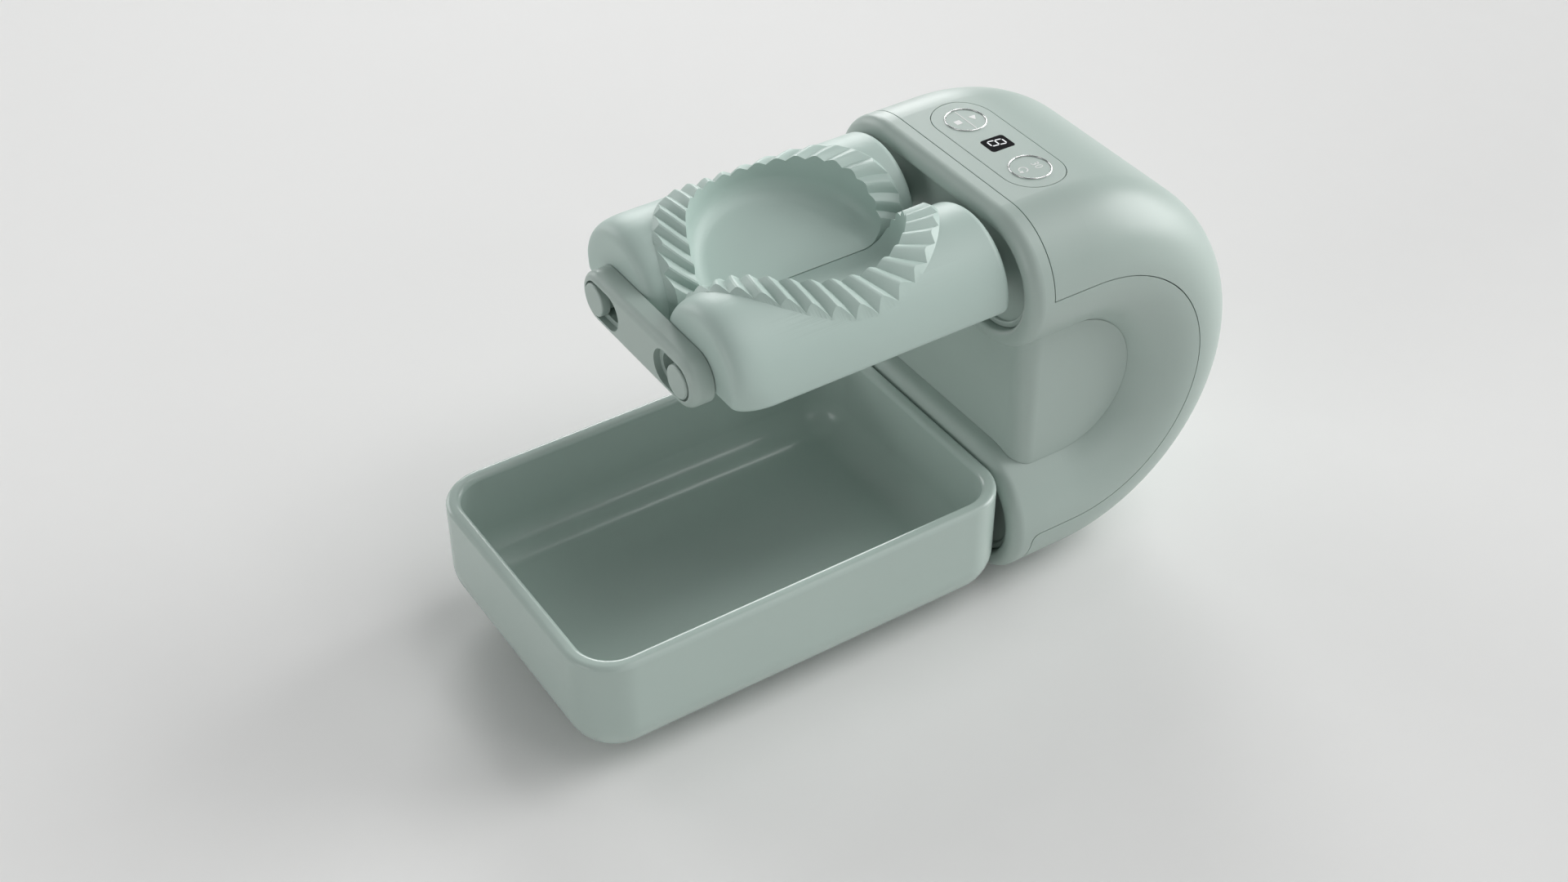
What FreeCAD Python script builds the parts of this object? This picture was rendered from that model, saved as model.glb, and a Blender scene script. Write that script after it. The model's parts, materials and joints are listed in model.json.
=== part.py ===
import FreeCAD, Part
import bisect
import math
import os

Vec = FreeCAD.Vector
X = Vec(1, 0, 0)
Y = Vec(0, 1, 0)
Z = Vec(0, 0, 1)

# All sizes are in millimetres. The machine stands on z = 0 with its length along X:
# the tray's front is at -X, the back of the C is at +X, and "near" means -Y.

# Body: a round-ended tube bent into a C
body_width = 110.0
tube_height = 50.0
bend_radius = 47.5
arm_length = 25.6
wall = 3.0
foot_proud = 0.8

# Front rims of the two arms and the plates set back inside them
rim_depth = 8.1
rim_width = 6.25
rim_outer_round = 4.4
rim_inner_round = 1.5
plate_recess = 4.2
plate_thickness = 2.5
bead_width = 2.2
bead_height = 1.2

# Parting line between frame and cover, backed by a lip on the frame
parting_offset = 1.5
parting_gap = 0.35
parting_corner = 3.0
lip_thickness = 1.5
lip_reach = 3.0

# Spine block in the mouth of the C
spine_setback = 7.2
spine_width = 88.0
spine_edge_round = 7.0

# Tray
tray_length = 162.5
tray_side_set = 0.2
tray_height = 36.0
tray_lift = 11.8
tray_wall = 5.0
tray_floor = 4.0
tray_corner = 17.0
tray_bottom_round = 12.5
tray_inside_round = 8.0
tray_rim_outer_round = 2.0
tray_rim_inner_round = 1.4
tray_foot_inset = 28.0
tray_foot_top = 9.0
tray_foot_radius = 7.5
dock_gap = 0.4

# Gear train: two drive gears joined by two idlers in line
gear_module = 1.0
drive_teeth = 24
idler_teeth = 13
gear_width = 8.0
addendum = 0.8
dedendum = 1.25
root_share = 0.64
tip_share = 0.22

# Mould rollers: round on top, flat below, with a raised collar and a hub at each end
mould_length = 100.0
mould_gap = 3.5
roller_gap = 0.4
axis_rise = 1.3
collar_rise = 1.9
flat_drop = 3.7
flat_edge_round = 2.6
free_end_run = 13.0
free_end_drop = 6.5
free_hub_radius = 6.6
drive_end_round = 3.0
hub_radius = 7.0
hub_length = 18.0
socket_flats = 7.0
socket_depth = 15.0

# Pocket and its crimped collar, round in plan about a point between the rollers
pocket_from_end = 50.7
collar_margin = 5.0
collar_width = 10.4
collar_slope = 2.2
collar_tuck = 0.3
crimp_pitch = 7.2
crimp_depth = 1.5
crimp_lean = 0.74
crimp_end = 5.0
crest_drop = 0.15
crimp_wave = ((0.0, 1.0), (0.2, 0.5), (0.38, 0.1), (0.5, 0.0), (0.62, 0.1), (0.8, 0.5))
crimp_steps = 4
pocket_lip_rise = 1.4
pocket_slope = 0.35
pocket_floor_round = 8.0

# Tie bar and the headed pins that hold it
bar_thickness = 7.5
bar_height = 18.0
bar_edge_round = 2.6
bar_play = 0.3
slot_run = 8.0
slot_step = 2.2
slot_step_radius = 6.3
pin_radius = 4.2
pin_head_radius = 5.6
pin_head_height = 2.9
pin_head_round = 0.6
pin_thread_radius = 2.5
pin_thread_length = 13.0

# Gearbox and motor
shaft_radius = 4.0
bush_radius = 6.5
seal_radius = 7.5
box_setback = 4.0
box_plate = 2.5
box_gap = 12.0
box_headroom = 11.0
box_foot_width = 14.0
box_foot_spread = 42.0
spacer_radius = 2.5
spacer_spread = 84.0
idler_pin_radius = 2.0
motor_radius = 12.0
motor_can_radius = 10.5
motor_length = 13.0
motor_gear_length = 13.0
motor_bore_depth = 6.0

# Control panel
panel_length = 58.4
panel_height = 22.8
panel_thickness = 1.8
panel_gap = 0.3
ledge = 1.6
button_spread = 34.5
button_radius = 6.6
ring_width = 0.45
ring_proud = 0.12
button_travel = 0.8
button_depth = 2.5
button_flange = 1.0
flange_radius = 7.8
display_length = 9.4
display_width = 7.8
display_corner = 1.2
display_thickness = 1.5
board_drop = 8.7
board_thickness = 1.6
board_length = 54.0
board_width = 34.0
board_post_radius = 2.0
board_post_x = 24.2
board_post_y = 38.0
switch_size = 6.0
plunger_radius = 1.75
plunger_height = 1.2

# Cells in the base, charging board and socket at the back
cell_radius = 7.1
cell_length = 50.0
cell_pitch = 17.5
cell_lift = 6.1
cell_setback = 20.0
holder_wall = 2.0
socket_width = 9.0
socket_height = 3.3
socket_length = 7.5
socket_wall = 0.4
socket_back = 1.5
tongue_width = 6.6
tongue_height = 0.7
tongue_setback = 1.0
charger_length = 26.0
charger_width = 24.0
charger_thickness = 1.6
rail_height = 4.0
rail_width = 2.5

# Feet, screws and the tray's catch
foot_radius = 6.0
foot_front = 6.0
foot_back = 40.0
foot_spread = 52.0
screw_head_radius = 2.8
screw_head_height = 2.0
screw_radius = 1.4
screw_length = 10.0
recess_length = 3.4
recess_width = 0.9
recess_depth = 1.1
boss_radius = 4.0
pad_radius = 5.5
pad_height = 4.5
screw_setback = 6.5
screw_spread = 76.0
back_screw_spread = 56.0
magnet_radius = 5.0
magnet_height = 3.0
magnet_spread = 44.0
magnet_boss_radius = 7.0
keeper_height = 1.5

# Clearances
seat_gap = 0.15
press_gap = 0.02
running_gap = 0.05
button_gap = 0.1

# Places worked out from the sizes above
mid_z = foot_proud + tube_height / 2 + bend_radius
head_z = mid_z + bend_radius
base_z = mid_z - bend_radius
top_z = head_z + tube_height / 2
overall_length = tray_length + dock_gap + arm_length + bend_radius + tube_height / 2
tray_front_x = -overall_length / 2
tray_back_x = tray_front_x + tray_length
front_x = tray_back_x + dock_gap
bend_x = front_x + arm_length
back_x = bend_x + bend_radius + tube_height / 2
rim_back_x = front_x + rim_depth
tray_top = tray_lift + tray_height
tray_width = body_width - 2 * tray_side_set
far = bend_radius + tube_height + body_width
socket_z = mid_z + charger_thickness + socket_height / 2

roller_spacing = gear_module * (drive_teeth + 2 * idler_teeth)
roller_y = roller_spacing / 2
crest_radius = (roller_spacing - roller_gap) / 2
roller_radius = crest_radius - collar_rise
collar_radius = 2 * crest_radius - collar_margin
crimp_radius = collar_radius - collar_slope
pocket_radius = collar_radius - collar_width
axis_z = head_z + axis_rise
mould_back_x = front_x - mould_gap
mould_front_x = mould_back_x - mould_length
pocket_x = mould_front_x + pocket_from_end
idler_y = gear_module * idler_teeth / 2

plate_x = front_x + plate_recess
box_front_x = rim_back_x + box_setback
box_rear_x = box_front_x + box_plate + box_gap
gear_x = box_front_x + box_plate + (box_gap - gear_width) / 2
motor_x = box_rear_x + box_plate
bar_back_x = mould_front_x - bar_play
bar_front_x = bar_back_x - bar_thickness
board_z = top_z - board_drop
flange_z = top_z - button_depth - button_flange
cell_x = rim_back_x + cell_setback
cell_z = base_z - tube_height / 2 + wall + cell_lift + cell_radius
magnet_z = (base_z + tray_lift + tray_height / 2) / 2
nodes = {}


def stadium(centre, along, across, length, height):
    r = height / 2
    half = along * (length / 2 - r)
    tip = along * (length / 2)
    rise = across * r
    a = centre - half + rise
    b = centre + half + rise
    c = centre + half - rise
    d = centre - half - rise
    edges = [
        Part.makeLine(a, b),
        Part.Arc(b, centre + tip, c).toShape(),
        Part.makeLine(c, d),
        Part.Arc(d, centre - tip, a).toShape(),
    ]
    return Part.Face(Part.Wire(edges))


def polygon(points):
    return Part.Face(Part.makePolygon(points + points[:1]))


def rod_x(radius, x0, x1, y, z):
    return Part.makeCylinder(radius, x1 - x0, Vec(x0, y, z), X)


def rod_z(radius, x, y, z0, z1):
    return Part.makeCylinder(radius, z1 - z0, Vec(x, y, z0), Z)


def block(x0, x1, y0, y1, z0, z1):
    return Part.makeBox(x1 - x0, y1 - y0, z1 - z0, Vec(x0, y0, z0))


def edges_along(shape, axis):
    chosen = []
    for edge in shape.Edges:
        ends = [v.Point for v in edge.Vertexes]
        if len(ends) == 2 and (ends[1] - ends[0]).normalize().cross(axis).Length < 1e-6:
            chosen.append(edge)
    return chosen


def edges_at(shape, axis, place):
    chosen = []
    for edge in shape.Edges:
        middle = edge.valueAt((edge.FirstParameter + edge.LastParameter) / 2)
        points = [v.Point for v in edge.Vertexes] + [middle]
        if all(abs(point.dot(axis) - place) < 1e-4 for point in points):
            chosen.append(edge)
    return chosen


def rounded_block(x0, x1, y0, y1, z0, z1, corner):
    solid = block(x0, x1, y0, y1, z0, z1)
    return solid.makeFillet(corner, edges_along(solid, Z))


# Two places either side of the middle, spread apart along Y.
def pair(spread):
    return (-spread / 2, spread / 2)


# The C-shaped tube, drawn in by inset all round, with its arms starting at start_x.
def tube(inset, start_x):
    width = body_width - 2 * inset
    height = tube_height - 2 * inset
    head = stadium(Vec(bend_x, 0, head_z), Y, Z, width, height)
    base = stadium(Vec(bend_x, 0, base_z), Y, Z, width, height)
    bend = head.revolve(Vec(bend_x, 0, mid_z), Y, 180)
    run = X * (start_x - bend_x)
    return head.extrude(run).fuse([bend, base.extrude(run)]).removeSplitter()


# Everything on the cover's side of the parting line, with that line moved out by grow.
# The line runs along the widest part of the tube, and its lower front corner is rounded.
def cover_side(grow):
    x = rim_back_x + grow
    r = bend_radius + parting_offset + grow
    low = mid_z - r
    turn = parting_corner * (1 - math.sqrt(0.5))

    def at(px, pz):
        return Vec(px, -far, pz)

    edges = [
        Part.makeLine(at(x, mid_z + r), at(bend_x, mid_z + r)),
        Part.Arc(at(bend_x, mid_z + r), at(bend_x + r, mid_z), at(bend_x, low)).toShape(),
        Part.makeLine(at(bend_x, low), at(x + parting_corner, low)),
        Part.Arc(at(x + parting_corner, low), at(x + turn, low - turn),
                 at(x, low - parting_corner)).toShape(),
        Part.makeLine(at(x, low - parting_corner), at(x, mid_z - far)),
        Part.makeLine(at(x, mid_z - far), at(bend_x + far, mid_z - far)),
        Part.makeLine(at(bend_x + far, mid_z - far), at(bend_x + far, mid_z + far)),
        Part.makeLine(at(bend_x + far, mid_z + far), at(x, mid_z + far)),
        Part.makeLine(at(x, mid_z + far), at(x, mid_z + r)),
    ]
    return Part.Face(Part.Wire(edges)).extrude(Y * (2 * far))


# A slab with the tube's section, drawn in by inset, across one arm.
def arm_slab(inset, x0, x1, z):
    face = stadium(Vec(x0, 0, z), Y, Z, body_width - 2 * inset, tube_height - 2 * inset)
    return face.extrude(X * (x1 - x0))


# The whole C-shaped shell with its two rounded front rims.
def make_shell():
    outer = tube(0, front_x)
    outer = outer.makeFillet(rim_outer_round, edges_at(outer, X, front_x))
    mouths = [arm_slab(rim_width, front_x - wall, rim_back_x + wall, z) for z in (head_z, base_z)]
    shell = outer.cut([tube(wall, rim_back_x)] + mouths)
    reach = tube_height / 2 - rim_width + seat_gap
    mouth_edges = []
    for edge in edges_at(shell, X, front_x):
        box = edge.BoundBox
        if any(abs(box.ZMax - z) < reach and abs(box.ZMin - z) < reach for z in (head_z, base_z)):
            mouth_edges.append(edge)
    return shell.makeFillet(rim_inner_round, mouth_edges)


# The lip inside the parting line: rooted in the frame's wall, it stands clear of the cover's.
def make_lip():
    root = tube(wall - seat_gap, front_x + rim_depth / 2).cut(tube(wall + lip_thickness, front_x))
    root = root.common(cover_side(-lip_reach).cut(cover_side(-parting_gap / 2)))
    tongue = tube(wall + seat_gap, front_x + rim_depth / 2).cut(tube(wall + lip_thickness, front_x))
    tongue = tongue.common(cover_side(-parting_gap / 2).cut(cover_side(lip_reach)))
    return root.fuse(tongue)


# A plate set back inside an arm's front rim, with a raised bead round its edge.
def front_plate(z):
    inset = rim_width + seat_gap
    plate = arm_slab(inset, plate_x, plate_x + plate_thickness, z)
    bead = arm_slab(inset, plate_x - bead_height, plate_x, z)
    bead = bead.cut(arm_slab(inset + bead_width, plate_x - bead_height, plate_x, z))
    bead = bead.makeFillet(bead_height / 2, edges_at(bead, X, plate_x - bead_height))
    return plate.fuse(bead).removeSplitter()


# A round-ended outline on top of the head, as a tall prism.
def panel_prism(inset):
    centre = Vec(bend_x, 0, board_z)
    face = stadium(centre, Y, X, panel_length - 2 * inset, panel_height - 2 * inset)
    return face.extrude(Z * (2 * board_drop))


def display_prism(inset):
    x0 = bend_x - display_length / 2 + inset
    y0 = -display_width / 2 + inset
    return rounded_block(x0, -x0 + 2 * bend_x, y0, -y0, board_z, top_z + wall, display_corner - inset)


# The skin of the tube's outside, as thick as thickness, starting proud of the surface.
def skin(proud, thickness):
    return tube(-proud, front_x).cut(tube(thickness, front_x - wall))


# A gear with straight-flanked teeth; turn is the angle of one tooth's middle from +Y.
def gear(teeth, turn, y, bore):
    root = gear_module * (teeth / 2 - dedendum)
    tip = gear_module * (teeth / 2 + addendum)
    points = []
    for tooth in range(teeth):
        middle = turn + 2 * math.pi * tooth / teeth
        half_root = math.pi * root_share / teeth
        half_tip = math.pi * tip_share / teeth
        for radius, angle in ((root, -half_root), (tip, -half_tip), (tip, half_tip), (root, half_root)):
            across = radius * math.cos(middle + angle)
            points.append(Vec(gear_x, y + across, axis_z + radius * math.sin(middle + angle)))
    return polygon(points).extrude(X * gear_width).cut(rod_x(bore, gear_x, gear_x + gear_width, y, axis_z))


def hexagon(flats, x0, x1, y):
    radius = flats / math.sqrt(3)
    points = []
    for corner in range(6):
        angle = math.pi * corner / 3
        points.append(Vec(x0, y + radius * math.cos(angle), axis_z + radius * math.sin(angle)))
    return polygon(points).extrude(X * (x1 - x0))


# The collar's path at one plan radius: plan angles about the pocket's middle, the turn about
# the roller's axis at each, and the distance run along the surface from the first.
def collar_path(radius):
    fine = 1440
    angles = [math.pi * i / fine for i in range(fine + 1)]
    turns = []
    for angle in angles:
        across = (radius * math.sin(angle) - roller_y) / crest_radius
        turns.append(math.acos(max(-1.0, min(1.0, across))))
    run = [0.0]
    for i in range(fine):
        along = radius * (math.cos(angles[i]) - math.cos(angles[i + 1]))
        run.append(run[-1] + math.hypot(along, crest_radius * (turns[i + 1] - turns[i])))
    return angles, turns, run


# A point on a collar path, a share of the way along it and some depth below the crests. The
# depth keeps the plan radius on the roller's outer half. Shares outside 0 to 1 go straight on
# down the roller past the nip.
def collar_point(side, radius, path, share, depth):
    angles, turns, run = path
    goal = share * run[-1]
    i = min(max(bisect.bisect(run, goal), 1), len(run) - 1)
    part = max(0.0, min(1.0, (goal - run[i - 1]) / (run[i] - run[i - 1])))
    angle = angles[i - 1] + part * (angles[i] - angles[i - 1])
    turn = turns[i - 1] + part * (turns[i] - turns[i - 1])
    turn += max(0.0, -goal, goal - run[-1]) / crest_radius
    reach = crest_radius - depth
    across = math.cos(turn) * (crest_radius if math.cos(turn) > 0 else reach)
    rise = math.copysign(math.sqrt(max(0.0, reach ** 2 - across ** 2)), math.sin(turn))
    return Vec(pocket_x + radius * math.cos(angle), side * (roller_y + across), axis_z + rise)


# What is cut away above the collar to leave its leaning ridges and sloped outer wall. Its
# sections follow the crimps' wave along the collar, which dies out towards the nip, and are
# joined by flat facets.
def crimp_cutter(side):
    middle = (pocket_radius + crimp_radius) / 2
    length = collar_path(middle)[2][-1]
    ridges = round(length / crimp_pitch)
    clear_above = crest_radius / 2
    inner = pocket_radius - wall
    outer = collar_radius + 2 * collar_tuck
    foot = collar_rise + 2 * collar_tuck
    start = 0.5 if side > 0 else 0.0
    paths = {}
    sections = []
    for ridge in range(-2, ridges + 2):
        for place, drop in crimp_wave:
            middle_run = (ridge + place + start) / ridges * length
            to_end = min(middle_run, length - middle_run)
            drop *= max(0.0, min(1.0, to_end / crimp_end - 1))
            tip = crimp_radius + (outer - crimp_radius) * crimp_depth * drop / (foot - crest_drop)
            outline = [(inner, -clear_above)]
            for step in range(crimp_steps + 1):
                outline.append((inner + (tip - inner) * step / crimp_steps, crest_drop + crimp_depth * drop))
            outline += [(outer, foot), (outer, -clear_above)]
            section = []
            for radius, depth in outline:
                if radius not in paths:
                    paths[radius] = collar_path(radius)
                run = middle_run - crimp_lean * (radius - middle)
                section.append(collar_point(side, radius, paths[radius], run / length, depth))
            sections.append(section)
    facets = []
    for end in (sections[0], sections[-1]):
        for k in range(1, len(end) - 1):
            facets.append(polygon([end[0], end[k], end[k + 1]]))
    for here, there in zip(sections, sections[1:]):
        for k in range(len(here)):
            after = (k + 1) % len(here)
            facets.append(polygon([here[k], here[after], there[k]]))
            facets.append(polygon([here[after], there[after], there[k]]))
    solid = Part.Solid(Part.Shell(facets))
    if solid.Volume < 0:
        solid.reverse()
    return solid


# The pocket's half in one roller: an upright round wall over a floor that falls to the nip.
def pocket_cutter(side):
    lip_z = axis_z + pocket_lip_rise
    tall = 2 * roller_radius
    cutter = rod_z(pocket_radius, pocket_x, 0, lip_z - tall, lip_z + tall)
    reach = 2 * pocket_radius
    fall = pocket_slope * reach
    below = polygon([
        Vec(pocket_x - reach, -side * reach, lip_z - fall),
        Vec(pocket_x - reach, side * reach, lip_z + fall),
        Vec(pocket_x - reach, side * reach, lip_z - 2 * tall),
        Vec(pocket_x - reach, -side * reach, lip_z - 2 * tall),
    ]).extrude(X * (2 * reach))
    cutter = cutter.cut(below)
    low = min(cutter.Faces, key=lambda face: face.CenterOfMass.z)
    return cutter.makeFillet(pocket_floor_round, low.Edges)


# One roller: a round bar with its ends rounded off and its underside cut flat, plus the
# crimped collar and the hubs, less the pocket, the drive socket and the pin's hole.
def mould(side):
    y = side * roller_y
    free_x = mould_front_x + free_end_run
    drive_x = mould_back_x - drive_end_round
    drive_turn = drive_end_round * math.sqrt(0.5)
    free_low = roller_radius - free_end_drop
    drive_low = roller_radius - drive_end_round

    def at(x, radius):
        return Vec(x, y, axis_z + radius)

    free_end = Part.Ellipse(at(mould_front_x, free_low), at(free_x, roller_radius), at(free_x, free_low))
    outline = [
        Part.makeLine(at(mould_front_x, 0), at(mould_front_x, free_low)),
        Part.ArcOfEllipse(free_end, 0, math.pi / 2).toShape(),
        Part.makeLine(at(free_x, roller_radius), at(drive_x, roller_radius)),
        Part.Arc(at(drive_x, roller_radius), at(drive_x + drive_turn, drive_low + drive_turn),
                 at(mould_back_x, drive_low)).toShape(),
        Part.makeLine(at(mould_back_x, drive_low), at(mould_back_x, 0)),
        Part.makeLine(at(mould_back_x, 0), at(mould_front_x, 0)),
    ]
    body = Part.Face(Part.Wire(outline)).revolve(Vec(0, y, axis_z), X, 360)
    flat_z = axis_z - flat_drop
    body = body.cut(block(-far, far, -far, far, flat_z - far, flat_z))
    long_edges = [e for e in edges_at(body, Z, flat_z) if e.BoundBox.XLength > mould_length / 2]
    body = body.makeFillet(flat_edge_round, long_edges)
    collar = rod_z(collar_radius + collar_tuck, pocket_x, 0, flat_z + flat_edge_round, axis_z + crest_radius)
    collar = collar.common(rod_x(crest_radius, mould_front_x, mould_back_x, y, axis_z))
    collar = collar.cut(crimp_cutter(side))
    hubs = [
        rod_x(hub_radius, mould_back_x - hub_length, mould_back_x, y, axis_z),
        rod_x(free_hub_radius, mould_front_x, mould_front_x + hub_length, y, axis_z),
    ]
    body = body.fuse([collar] + hubs)
    socket = hexagon(socket_flats + 2 * press_gap, mould_back_x - socket_depth, mould_back_x, y)
    pin_end_x = mould_front_x + pin_thread_length
    pin_hole = rod_x(pin_thread_radius + press_gap, mould_front_x, pin_end_x, y, axis_z)
    return body.cut([pocket_cutter(side), socket, pin_hole])


def drive_shaft(y, end_x):
    front = hexagon(socket_flats, mould_back_x - socket_depth + seat_gap, mould_back_x, y)
    return front.fuse(rod_x(shaft_radius, mould_back_x, end_x, y, axis_z))


def retaining_pin(y):
    head_x = bar_front_x + slot_step
    head = rod_x(pin_head_radius, head_x - pin_head_height, head_x, y, axis_z)
    head = head.makeFillet(pin_head_round, edges_at(head, X, head_x - pin_head_height))
    shank = rod_x(pin_radius, head_x, mould_front_x, y, axis_z)
    thread = rod_x(pin_thread_radius, mould_front_x, mould_front_x + pin_thread_length - seat_gap, y, axis_z)
    return head.fuse([shank, thread])


# A bar across the rollers' free ends. Each stepped slot runs from its pin towards the middle.
def make_tie_bar():
    face = stadium(Vec(bar_front_x, 0, axis_z), Y, Z, roller_spacing + bar_height, bar_height)
    bar = face.extrude(X * bar_thickness)
    bar = bar.makeFillet(bar_edge_round, edges_at(bar, X, bar_front_x))
    cuts = []
    for side in (-1, 1):
        centre = Vec(bar_front_x, side * (roller_y - slot_run / 2), axis_z)
        step = stadium(centre, Y, Z, slot_run + 2 * slot_step_radius, 2 * slot_step_radius)
        slot_radius = pin_radius + running_gap
        slot = stadium(centre, Y, Z, slot_run + 2 * slot_radius, 2 * slot_radius)
        cuts += [step.extrude(X * slot_step), slot.extrude(X * bar_thickness)]
    return bar.cut(cuts)


def make_tray():
    half = tray_width / 2
    outer = rounded_block(tray_front_x, tray_back_x, -half, half, tray_lift, tray_top, tray_corner)
    outer = outer.makeFillet(tray_bottom_round, edges_at(outer, Z, tray_lift))
    outer = outer.makeFillet(tray_rim_outer_round, edges_at(outer, Z, tray_top))
    floor_z = tray_lift + tray_floor
    inside = half - tray_wall
    inner = rounded_block(tray_front_x + tray_wall, tray_back_x - tray_wall, -inside, inside,
                          floor_z, tray_top + tray_wall, tray_corner - tray_wall)
    inner = inner.makeFillet(tray_inside_round, edges_at(inner, Z, floor_z))
    tray = outer.cut(inner)
    rim = [e for e in edges_at(tray, Z, tray_top)
           if e.BoundBox.YMax < inside + seat_gap and e.BoundBox.YMin > -inside - seat_gap
           and e.BoundBox.XMin > tray_front_x + tray_wall - seat_gap
           and e.BoundBox.XMax < tray_back_x - tray_wall + seat_gap]
    tray = tray.makeFillet(tray_rim_inner_round, rim)
    keepers = [rod_x(magnet_radius + press_gap, tray_back_x - keeper_height, tray_back_x, y, magnet_z)
               for y in pair(magnet_spread)]
    return tray.cut(keepers)


# Four feet that taper towards the table, well in from the tray's edge.
def make_tray_feet():
    y = tray_width / 2 - tray_foot_inset
    return [Part.makeCone(tray_foot_radius, tray_foot_top, tray_lift, Vec(x, side * y, 0))
            for x in (tray_front_x + tray_foot_inset, tray_back_x - tray_foot_inset) for side in (-1, 1)]


# A gearbox plate across the head, with two feet on the frame's floor and holes for the bushes.
def box_plate_at(x):
    inset = wall + lip_thickness + 2 * seat_gap
    plate = arm_slab(inset, x, x + box_plate, head_z)
    plate = plate.common(block(x, x + box_plate, -far, far, 0, top_z - box_headroom))
    floor_z = head_z - tube_height / 2 + wall + seat_gap
    for y in pair(box_foot_spread):
        half = box_foot_width / 2
        plate = plate.fuse(block(x, x + box_plate, y - half, y + half, floor_z, floor_z + 2 * inset))
    plate = plate.common(arm_slab(wall + seat_gap, x, x + box_plate, head_z))
    holes = [rod_x(bush_radius + press_gap, x, x + box_plate, y, axis_z) for y in pair(roller_spacing)]
    holes += [rod_x(idler_pin_radius + press_gap, x, x + box_plate, y, axis_z) for y in pair(2 * idler_y)]
    return plate.cut(holes).removeSplitter()


def make_motor():
    y = -roller_y
    can_x = motor_x + motor_gear_length
    box = rod_x(motor_radius, motor_x, can_x, y, axis_z)
    can = rod_x(motor_can_radius, can_x, can_x + motor_length, y, axis_z)
    can = can.makeFillet(drive_end_round / 2, edges_at(can, X, can_x + motor_length))
    bore = rod_x(shaft_radius + running_gap, motor_x, motor_x + motor_bore_depth, y, axis_z)
    return box.fuse(can).cut(bore)


def ring_x(outer_radius, inner_radius, x0, x1, y):
    return rod_x(outer_radius, x0, x1, y, axis_z).cut(rod_x(inner_radius, x0, x1, y, axis_z))


def button(y):
    cap = rod_z(button_radius, bend_x, y, flange_z + button_flange, top_z + wall).common(tube(0, front_x))
    return cap.fuse(rod_z(flange_radius, bend_x, y, flange_z, flange_z + button_flange))


# Screws: two up through the underside of the cover and two in through its back.
def screw_places():
    low = [(Vec(bend_x - screw_setback, y, cover_low(y)), Z) for y in pair(screw_spread)]
    back = [(Vec(back_x, y, mid_z), X * -1) for y in pair(back_screw_spread)]
    return low + back


# The height of the cover's underside, y away from the middle.
def cover_low(y):
    over = max(0, abs(y) - (body_width - tube_height) / 2)
    return base_z - math.sqrt((tube_height / 2) ** 2 - over ** 2)


# The charging port's round-ended outline, inset by so much.
def socket_prism(inset, x0, x1):
    face = stadium(Vec(x0, 0, socket_z), Y, Z, socket_width - 2 * inset, socket_height - 2 * inset)
    return face.extrude(X * (x1 - x0))


def rod(radius, start, axis, length):
    return Part.makeCylinder(radius, length, start, axis)


# The cross in a screw's head.
def cross_recess(start, axis):
    half = recess_length / 2
    thin = recess_width / 2
    cross = block(-half, half, -thin, thin, 0, recess_depth)
    cross = cross.fuse(block(-thin, thin, -half, half, 0, recess_depth))
    cross.Placement = FreeCAD.Placement(start, FreeCAD.Rotation(Z, axis))
    return cross


shell = make_shell()
cover = shell.common(cover_side(parting_gap / 2))
frame = shell.cut(cover_side(-parting_gap / 2)).fuse(make_lip())

# Screw bosses: a post on the frame meets a pad on the cover.
inside = tube(wall / 2, rim_back_x)
cover_half = cover_side(parting_gap / 2)
screws = []
for start, axis in screw_places():
    pad_end = start + axis * (wall + pad_height)
    pad = rod(pad_radius, start, axis, wall + pad_height).common(inside)
    cover = cover.fuse(pad.common(cover_half))
    post = rod(boss_radius, pad_end + axis * seat_gap, axis, far).common(inside)
    post = min(post.Solids, key=lambda s: (s.CenterOfMass - pad_end).Length)
    frame = frame.fuse(post)
    frame = frame.cut(rod(screw_radius + press_gap, pad_end, axis, screw_length))
    hole = rod(screw_radius + seat_gap, start, axis, wall + pad_height)
    counterbore = rod(screw_head_radius + seat_gap, start - axis * wall, axis, wall + screw_head_height)
    cover = cover.cut([hole, counterbore])
    head = rod(screw_head_radius, start, axis, screw_head_height).cut(cross_recess(start, axis))
    shank = wall + pad_height + screw_length - recess_depth - seat_gap
    screws.append(head.fuse(rod(screw_radius, start + axis * recess_depth, axis, shank)))
nodes["cover_screws"] = Part.makeCompound(screws)

# The cover's window for the panel, with a ledge below it, and posts for the board
recess = panel_prism(0).cut(tube(panel_thickness + running_gap, front_x - wall))
cover = cover.cut([recess, panel_prism(ledge)])
below_panel = tube(panel_thickness + 2 * running_gap, rim_back_x)
for x in (bend_x - board_post_x / 2, bend_x + board_post_x / 2):
    for y in pair(board_post_y):
        cover = cover.fuse(rod_z(board_post_radius, x, y, board_z, top_z).common(below_panel))

# The socket's hole and the rails that carry the charging board
cover = cover.cut(socket_prism(-seat_gap, back_x - socket_length, back_x + wall))
for y in pair(charger_width - rail_width):
    half = rail_width / 2
    rail = block(back_x - charger_length, back_x, y - half, y + half, mid_z - rail_height, mid_z)
    cover = cover.fuse(rail.common(inside))

nodes["outer_cover"] = cover
nodes["c_frame"] = frame

# Spine block: fits the tube's inside curve with a small gap, hollow towards the back
half = spine_width / 2
spine = block(front_x + spine_setback, bend_x + bend_radius, -half, half, base_z, head_z)
spine_edges = [e for e in edges_along(spine, Z) if abs(e.CenterOfMass.x - front_x - spine_setback) < seat_gap]
spine = spine.makeFillet(spine_edge_round, spine_edges).cut(tube(-seat_gap, front_x))
mouth_half = bend_radius - tube_height / 2
hollow = block(front_x + spine_setback + wall, bend_x + far, wall - half, half - wall,
               mid_z - mouth_half + wall, mid_z + mouth_half - wall)
nodes["spine_block"] = spine.cut(hollow)

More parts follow.
